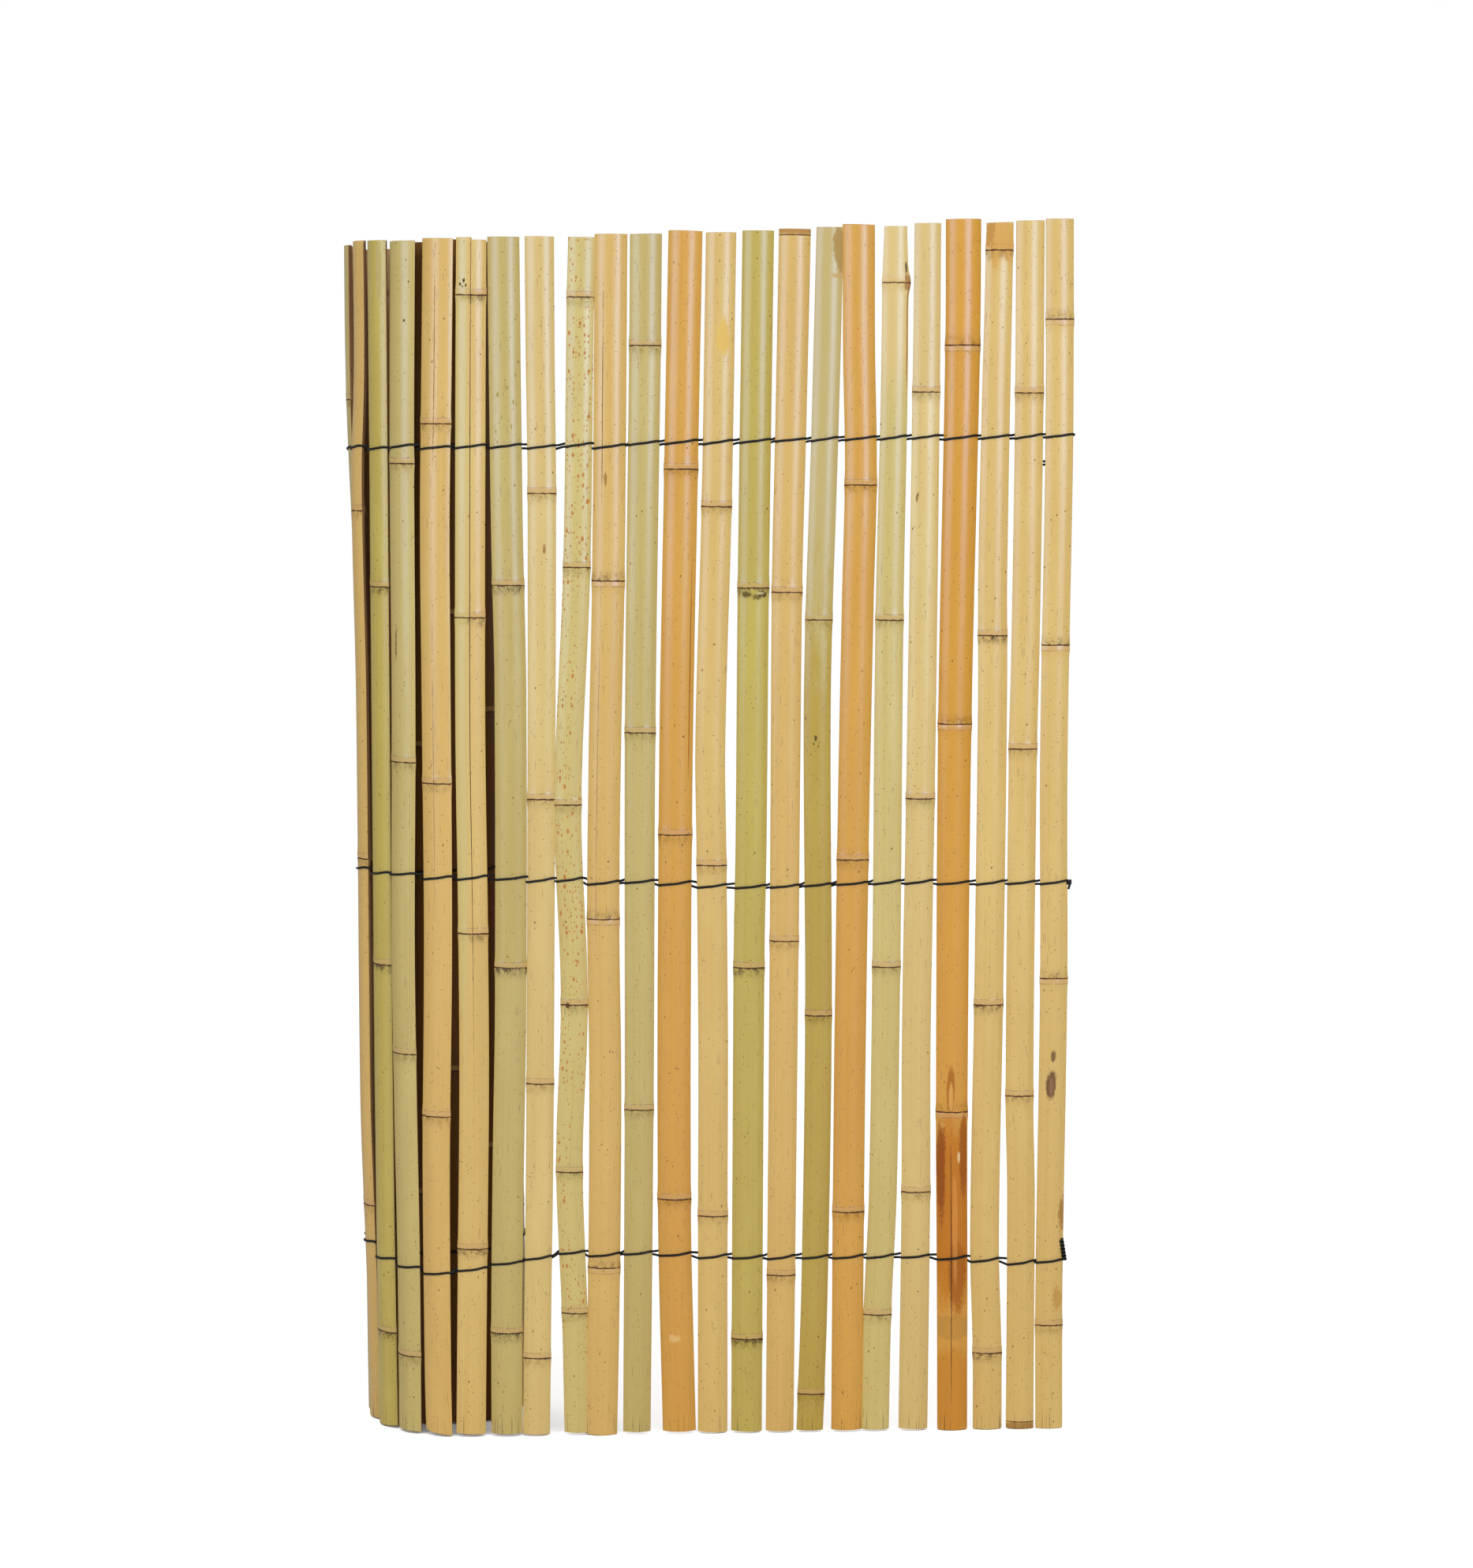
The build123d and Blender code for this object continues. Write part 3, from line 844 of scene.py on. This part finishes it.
MARKS = {
    "slat_01": (
        mark(-1, 293, 4.6, 13, 0.4, OLD_SCAR, 0.9), mark(-1, 292, 2.2, 8, 0.5, (150, 112, 84), 0.7),
        mark(0, 317, 2.4, 6, 0.6, OLD_SCAR, 0.8), mark(10, 184, 3, 18, 0.9, NUT, 0.7),
        mark(7, 112, 4, 9, 0.8, TAN, 0.45),
    ),
    "slat_02": (
        mark(0, 2, 25, 4, 0.4, NUT, 0.7), mark(0, 6, 25, 0.6, 0.2, DARK_BROWN, 0.8),
    ),
    "slat_03": (mark(0, 992, 18, 24, 0.7, (208, 152, 76), 0.6), mark(-9, 995, 4, 16, 0.8, TAN, 0.5)),
    "slat_04": (
        mark(0, 182, 24, 90, 0.15, (184, 106, 34), 0.75), mark(-10, 222, 5, 46, 0.4, UMBER, 0.8),
        mark(10, 232, 4, 40, 0.4, UMBER, 0.65), mark(4, 132, 9, 32, 0.5, UMBER, 0.5),
        mark(2.5, 175, 2.5, 52, 0.4, (216, 150, 78), 0.5), mark(0, 34, 30, 42, 0.1, (194, 128, 56), 0.65),
        mark(0, 88, 24, 12, 0.15, (190, 140, 66), 0.85), mark(-1, 290, 4, 22, 0.25, (160, 88, 38), 0.75),
        mark(-1, 283, 2.2, 14, 0.2, (218, 164, 84), 0.85), mark(6, 233, 1.6, 5.5, 0.3, (230, 196, 148), 0.9),
        mark(-1, 130, 0.5, 136, 0.3, DARK_BROWN, 0.95),
    ),
    "slat_05": (mark(-7, 780, 1.2, 4.5, 0.5, NUT, 0.9), mark(-6, 783, 0.6, 2, 0.4, DARK_BROWN, 0.8)),
    "slat_06": (
        mark(0, 990, 40, 130, 0.2, (228, 198, 128), 0.6), mark(11, 915, 0.8, 48, 0.3, NUT, 0.8),
        mark(10, 955, 3, 7, 0.6, NUT, 0.7), mark(10, 968, 1.2, 4, 0.7, MOULD, 0.8),
    ),
    "slat_08": (
        mark(0, 950, 40, 320, 0.3, (199, 180, 118), 0.8), mark(8, 985, 6, 22, 0.8, NUT, 0.5),
        mark(8, 962, 8, 2.5, 0.3, (200, 168, 112), 0.7),
        *blots(MOULD, 0.8, (-1, 584, 1.4, 2.2, 0.8), (-3, 579, 0.8, 1.6, 0.8), (1, 577, 0.9, 1.4, 0.7)),
    ),
    "slat_09": (
        mark(0, 1000, 30, 5, 0.3, (166, 116, 66), 0.7), mark(0, 995, 30, 0.6, 0.2, DARK_BROWN, 0.85),
    ),
    "slat_10": (
        *blots(MOULD, 0.9, (-5, 703, 4, 2.4, 0.75), (3, 701, 3.5, 2.8, 0.65), (9, 703, 4, 2.6, 0.8)),
        mark(6, 704, 3, 1, 0.6, (214, 200, 150), 0.7),
    ),
    "slat_11": (mark(3, 912, 6, 16, 0.6, (224, 186, 96), 0.6),),
    "slat_12": (
        mark(-2, 80, 4, 4, 0.8, (230, 196, 140), 0.6), mark(6, 586, 0.8, 1.2, 0.3, DARK_BROWN, 0.9),
        # Painted shadow: the dark line down slat_12's right edge is the shade where it touches slat_13.
        mark(11, 640, 0.6, 95, 0.2, UMBER, 0.85),
    ),
    "slat_14": (
        mark(-6, 860, 0.45, 95, 0.4, DARK_BROWN, 0.7), mark(-3, 800, 1.6, 7, 0.5, NUT, 0.7),
        mark(-6, 560, 0.4, 160, 0.5, NUT, 0.7),
    ),
    "slat_15": (mark(-5, 363, 2, 3, 0.5, (96, 48, 18), 0.9),),
    "slat_16": (mark(2, 743, 1.4, 4.5, 0.4, NUT, 0.9), mark(2, 744, 0.7, 3, 0.3, (196, 150, 84), 0.8)),
    "slat_17": blots(
        BRUISE, 0.5, (-6, 868, 1.1, 2.6, 0.7), (-3, 850, 0.9, 3.4, 0.6), (2, 874, 1.2, 2.2, 0.7),
        (7, 862, 1, 3, 0.7), (5, 842, 0.8, 2.4, 0.6), (-8, 838, 0.9, 2, 0.6), (9, 884, 0.9, 2.2, 0.6),
    ),
    "slat_18": (
        mark(-8, 700, 7.5, 420, 0.05, (206, 187, 114), 0.7), mark(0, 700, 0.45, 420, 0.2, DARK_BROWN, 0.9),
        *blots(MOULD, 0.8, (-9, 958, 1.3, 1.7, 0.9), (-6, 961, 1, 1.4, 0.9), (-7, 956, 0.8, 1, 0.8)),
        *blots(MOULD, 0.8, (-4, 957, 0.8, 1.2, 0.8), (-10, 963, 0.7, 0.9, 0.8)),
    ),
    "slat_19": (mark(0, 900, 0.5, 90, 0.8, NUT, 0.7), mark(-1, 560, 0.4, 140, 0.9, NUT, 0.6)),
    "slat_20": (mark(-4, 662, 1.5, 18, 0.8, (96, 78, 50), 0.7), mark(6, 930, 0.9, 1.4, 0.3, MOULD, 0.9)),
    "slat_21": (mark(8, 972, 3, 25, 0.6, (184, 170, 126), 0.6),),
    "slat_22": (mark(-4, 300, 1, 30, 0.8, TAN, 0.6),),
}
skins = {}
# The inner slats' painted-shade brown also gets less shine, so that it stays dark.
for slat, tone in zip(slats, TONE_ORDER):
    skins[slat.name] = cane_skin(
        f"skin_{slat.name}", tone, soot=SOOTY.get(slat.name, 0.5), rust=RUSTY.get(slat.name, 0.0),
        shine=INNER_SLAT_SHINE if tone == INNER_SHADE_BROWN else SHINE, marks=MARKS.get(slat.name, ()),
    )
print("skins made:", len(skins), "with marks:", len(MARKS))

# %% [markdown]
# ## Cut edges, lining and ends
# Where the cane was split the fibres lie open: the cut edges are rougher and browner than the skin. The
# lining is papery with brown streaks. The sawn ends show the fibres end on, as dots.

# %% Raw cane materials
def raw_cane(name, common, deep, dots_across, dots_along, dot_share):
    """Cane without its skin."""
    material, tree, shader, cane, _, _, seed = cane_material(name)
    streaks = place_group(tree, fibres, Cane=cane, Seed=seed)
    sockets = {"Across": dots_across, "Along": dots_along, "Share": dot_share}
    dots = place_group(tree, specks, Cane=cane, Seed=seed, **sockets)
    colour = blend(tree, ramp(tree, streaks["Broad"], 0.35, 0.7), common, deep)
    colour = blend(tree, ramp(tree, streaks["Fine"], 0.5, 0.72, 0.0, 0.6), colour, deep)
    colour = paint(tree, colour, dots["Speck"], 0.6, SPECK_BROWN)
    rough = sums(tree, "MULTIPLY_ADD", streaks["Fine"], 0.2, 0.6)
    normal = bumped(tree, streaks["Fine"], 0.5, 0.4 * MM)
    feed(tree, shader, Base_Color=colour, Roughness=rough, Normal=normal)
    return material


cut_edge = raw_cane("split_edge", srgb(186, 146, 98), srgb(132, 90, 62), 500.0, 120.0, 0.2)
lining = raw_cane("cane_lining", srgb(204, 168, 118), srgb(156, 114, 76), 300.0, 90.0, 0.25)
sawn_end = raw_cane("sawn_end", srgb(206, 172, 116), srgb(166, 122, 74), 1500.0, 1500.0, 0.6)
for name, piece in pieces.items():
    for material in (skins[name], cut_edge, lining, sawn_end):
        piece.data.materials.append(material)
print("raw surfaces made")

# %% [markdown]
# ## Twined wire
# Each course has two strands. A strand passes in front of one slat and behind the next, so the two cross
# in every gap. In front it bites into the skin and falls a little from right to left. The heights of the
# courses are written where they change, because the lower one sags and climbs. Each strand is one
# smooth curve through points on the slats, with a round bevel, made into a mesh at the end.

# %% Wire paths
WIRE_RADIUS = 1.0 * MM
WIRE_BITE = 0.34 * MM
WIRE_FALL = 3.2 * MM
COURSES = {
    "upper": ((1, 830), (8, 829), (16, 826), (23, 828), (34, 829)),
    "middle": ((1, 462), (6, 463), (10, 461), (14, 467), (23, 474), (34, 474)),
    "lower": (
        (1, 143), (2, 142), (4, 147), (10, 149), (15, 154), (17, 146), (19, 138), (21, 145), (22, 153),
        (34, 149),
    ),
}
FRONT_STEPS = (1.0, 0.8, 0.45, 0.1, -0.3, -0.65, -0.92, -1.0)
FRONT_RISES = (0.9, 1.0, 0.55, 0.05, -0.3, -0.7, -1.0, -0.9)


def course_level(course, number, slat):
    """How far up its cane a course meets a slat."""
    return smooth_line(COURSES[course], number) * MM / slat.axis.z


def by_the_slat(slat, level, side, depth, rise):
    """A point beside a slat's section: side 1 is its right edge, depth is under the skin, in mm."""
    angle = slat.half * width_at(slat, level) * side
    height = level + rise * MM
    return cane_point(slat, height, angle, slat.radius - depth * MM) + bend_at(slat, height)


def strand_path(course, in_front):
    """The points of one strand, from the free end to the end inside the roll."""
    path = []
    for number, slat in enumerate(slats, start=1):
        level = course_level(course, number, slat)
        fall = WIRE_FALL * rng.uniform(0.8, 1.2) / MM / 2
        if in_front:
            for side, rise in zip(FRONT_STEPS, FRONT_RISES):
                ring = joint_rise(slat, SCAR_SHAPE, level + rise * fall * MM)
                depth = (WIRE_BITE - ring - WIRE_RADIUS) / MM
                path.append(by_the_slat(slat, level, side, depth, rise * fall))
        else:
            for side in (1.0, -1.0):
                depth = (slat.wall + WIRE_RADIUS) / MM
                path.append(by_the_slat(slat, level, side, depth, -side * fall))
        in_front = not in_front
    return path


print("first points of a strand:", len(strand_path("upper", True)))

# %% [markdown]
# ## Wire ends
# At the free end each course is tied off in its own way. The upper strands hook round the last slat's
# edge and their tails run down behind it into the next gap. The middle ones are wound into a small
# knot. The lower ones are twisted together into an upright pigtail. Inside the roll the ends are just
# bent up.

# %% Ends of the strands
KNOT_RADIUS = 1.7
KNOT_TURNS = 2
PIGTAIL_HEIGHT = 19
PIGTAIL_RADIUS = 1.2
PIGTAIL_TURNS = 3
PIGTAIL_LEAN = -0.16
TAIL_SPACING = 2.6
ROLL_TAIL = 10
ROLL_BEND = 2.2
COIL_STEPS = 8


def coil(slat, middle, radius, turns, low, high, start, lean=0.0):
    """Points on a coil round a middle, from its top to its foot, in millimetres."""
    points = []
    steps = round(COIL_STEPS * turns)
    for step in range(steps + 1):
        turn = start + 2 * math.pi * turns * step / steps
        sideways = slat.right * math.cos(turn) + slat.out * math.sin(turn)
        height = high + (low - high) * step / steps
        points.append(middle + (sideways * radius + (slat.axis + slat.right * lean) * height) * MM)
    return points


def free_end_path(course, in_front):
    """The points of a strand's tied end, up to where it meets the first slat."""
    slat = slats[0]
    level = course_level(course, 1, slat)
    back = slat.wall / MM
    if course == "upper":
        lower = 0.0 if in_front else -TAIL_SPACING
        further = 1.0 if in_front else TAIL_SPACING
        tail = [by_the_slat(slat, level, -1.16, 0.6, lower - 21)]
        for side, fall in ((-1.0, 20), (-0.2, 15), (0.6, 6)):
            tail.append(by_the_slat(slat, level, side, back + further, lower - fall))
        if in_front:
            tail.append(by_the_slat(slat, level, 1.06, back, -1))
            tail.append(by_the_slat(slat, level, 1.13, back / 2, 0.5))
        return tail
    if course == "middle":
        middle = by_the_slat(slat, level, 1.1, 0.4, 0)
        start = 0.0 if in_front else math.pi
        knot = coil(slat, middle, KNOT_RADIUS, KNOT_TURNS, -1.3, 1.3, start)
        return [middle - slat.axis * 6 * MM] + knot if in_front else knot
    middle = by_the_slat(slat, level, 1.03, -1.6, 0)
    start = 0.0 if in_front else math.pi
    return coil(slat, middle, PIGTAIL_RADIUS, PIGTAIL_TURNS, 1.5, PIGTAIL_HEIGHT, start, PIGTAIL_LEAN)


def roll_end_path(last_point):
    """The strand's other end, bent up beside the last slat in the roll."""
    slat = slats[-1]
    bend = last_point - slat.right * ROLL_BEND * MM
    return [bend, bend + slat.axis * ROLL_TAIL * MM]


def draw_wire(name, path):
    """Smooth round wire through the points of a path, as a mesh."""
    curve = bpy.data.curves.new(name, "CURVE")
    curve.dimensions = "3D"
    curve.bevel_depth = WIRE_RADIUS
    curve.bevel_resolution = 2
    curve.use_fill_caps = True
    curve.resolution_u = 4
    spline = curve.splines.new("BEZIER")
    spline.bezier_points.add(len(path) - 1)
    for point, spot in zip(spline.bezier_points, path):
        point.co = spot
        point.handle_left_type = point.handle_right_type = "AUTO"
    drawn = show(bpy.data.objects.new(name, curve))
    bpy.context.view_layer.update()
    mesh = bpy.data.meshes.new_from_object(drawn)
    mesh.name = name
    bpy.data.objects.remove(drawn)
    bpy.data.curves.remove(curve)
    return mesh


print("wire ends ready")

# %% [markdown]
# ## Black coated wire
# The coating is nearly black with a dull shine, scuffed a little grey in small patches.

# %% Wire material and strands
coated_wire, tree, shader = blank_material("coated_wire")
spot = wire_node(tree, "TexCoord").outputs["Object"]
scuff = wire_node(tree, "TexNoise", Vector=spot, Scale=900.0, Detail=3.0).outputs[0]
colour = blend(tree, ramp(tree, scuff, 0.55, 0.8), srgb(12, 12, 13), srgb(30, 28, 27))
rough = sums(tree, "MULTIPLY_ADD", scuff, 0.3, 0.35)
feed(tree, shader, Base_Color=colour, Roughness=rough, Specular_IOR_Level=0.3)
feed(tree, shader, Normal=bumped(tree, scuff, 0.3, 0.1 * MM))

for course in COURSES:
    for strand, in_front in (("a", True), ("b", False)):
        node = f"{course}_wire_{strand}"
        path = free_end_path(course, in_front) + strand_path(course, in_front)
        mesh = draw_wire(f"twined_{node}", path + roll_end_path(path[-1]))
        mesh.materials.append(coated_wire)
        add_piece(f"twined_{node}", mesh, slot_of[node], node)
print("strands twined:", 2 * len(COURSES))

# %% [markdown]
# ## Studio
# The mat stands on a plain white floor in soft light: a large softbox in front and to the right, whose
# lower edge is about as high as the camera, so that its reflection runs down the upper third of the
# slats, a weaker one from the left, and a pale room all round. The floor is lifted to white for the
# camera alone and still takes the mat's shadow. Where the floor is walled in, as inside the roll, it isn't
# lifted, so the gaps between the slats stay dark down to the ground.

# %% Floor, lamps and room
FLOOR_SIZE = 12.0
FLOOR_LIFT = 0.72
FLOOR_GREY = (0.8, 0.8, 0.8, 1.0)
WHITE = (1.0, 1.0, 1.0, 1.0)
ROOM_LIGHT = 0.38
WALL_REACH = 0.25
floor_bm = bmesh.new()
bmesh.ops.create_grid(floor_bm, x_segments=1, y_segments=1, size=FLOOR_SIZE / 2)
floor_mesh = bpy.data.meshes.new("floor")
floor_bm.to_mesh(floor_mesh)
floor_bm.free()
floor = show(bpy.data.objects.new("floor", floor_mesh))

floor_material, tree, shader = blank_material("floor_white")
feed(tree, shader, Base_Color=FLOOR_GREY, Roughness=0.9, Emission_Color=WHITE)
seen = wire_node(tree, "LightPath").outputs["Is Camera Ray"]
free = wire_node(tree, "AmbientOcclusion", {"samples": 8}, Distance=WALL_REACH).outputs["AO"]
lift = ramp(tree, free, 0.2, 0.48, 0.0, FLOOR_LIFT)
feed(tree, shader, Emission_Strength=sums(tree, "MULTIPLY", seen, lift))
floor_mesh.materials.append(floor_material)


def softbox(name, place, target, width, height, power):
    """A large area lamp that faces a target."""
    lamp = bpy.data.lights.new(name, "AREA")
    lamp.shape = "RECTANGLE"
    lamp.size = width
    lamp.size_y = height
    lamp.energy = power
    held = show(bpy.data.objects.new(name, lamp))
    held.location = place
    held.rotation_euler = (Vector(target) - Vector(place)).to_track_quat("-Z", "Y").to_euler()


softbox("key_softbox", (1.25, -2.4, 1.22), (0, 0, 0.72), 0.9, 1.15, 23)
softbox("fill_softbox", (-1.9, -2.0, 1.2), (0, 0, 0.5), 1.4, 1.3, 20)
softbox("front_softbox", (0.1, -3.6, 2.6), (0, 0, 0.3), 2.0, 1.0, 25)

world = bpy.data.worlds.new("room")
bpy.context.scene.world = world
world.use_nodes = True
tree = world.node_tree
seen = wire_node(tree, "LightPath").outputs["Is Camera Ray"]
strength = ramp(tree, seen, 0.0, 1.0, ROOM_LIGHT, 1.0)
feed(tree, tree.nodes["Background"], Color=WHITE, Strength=strength)
bpy.context.scene.view_settings.view_transform = "Standard"
print("studio lit")
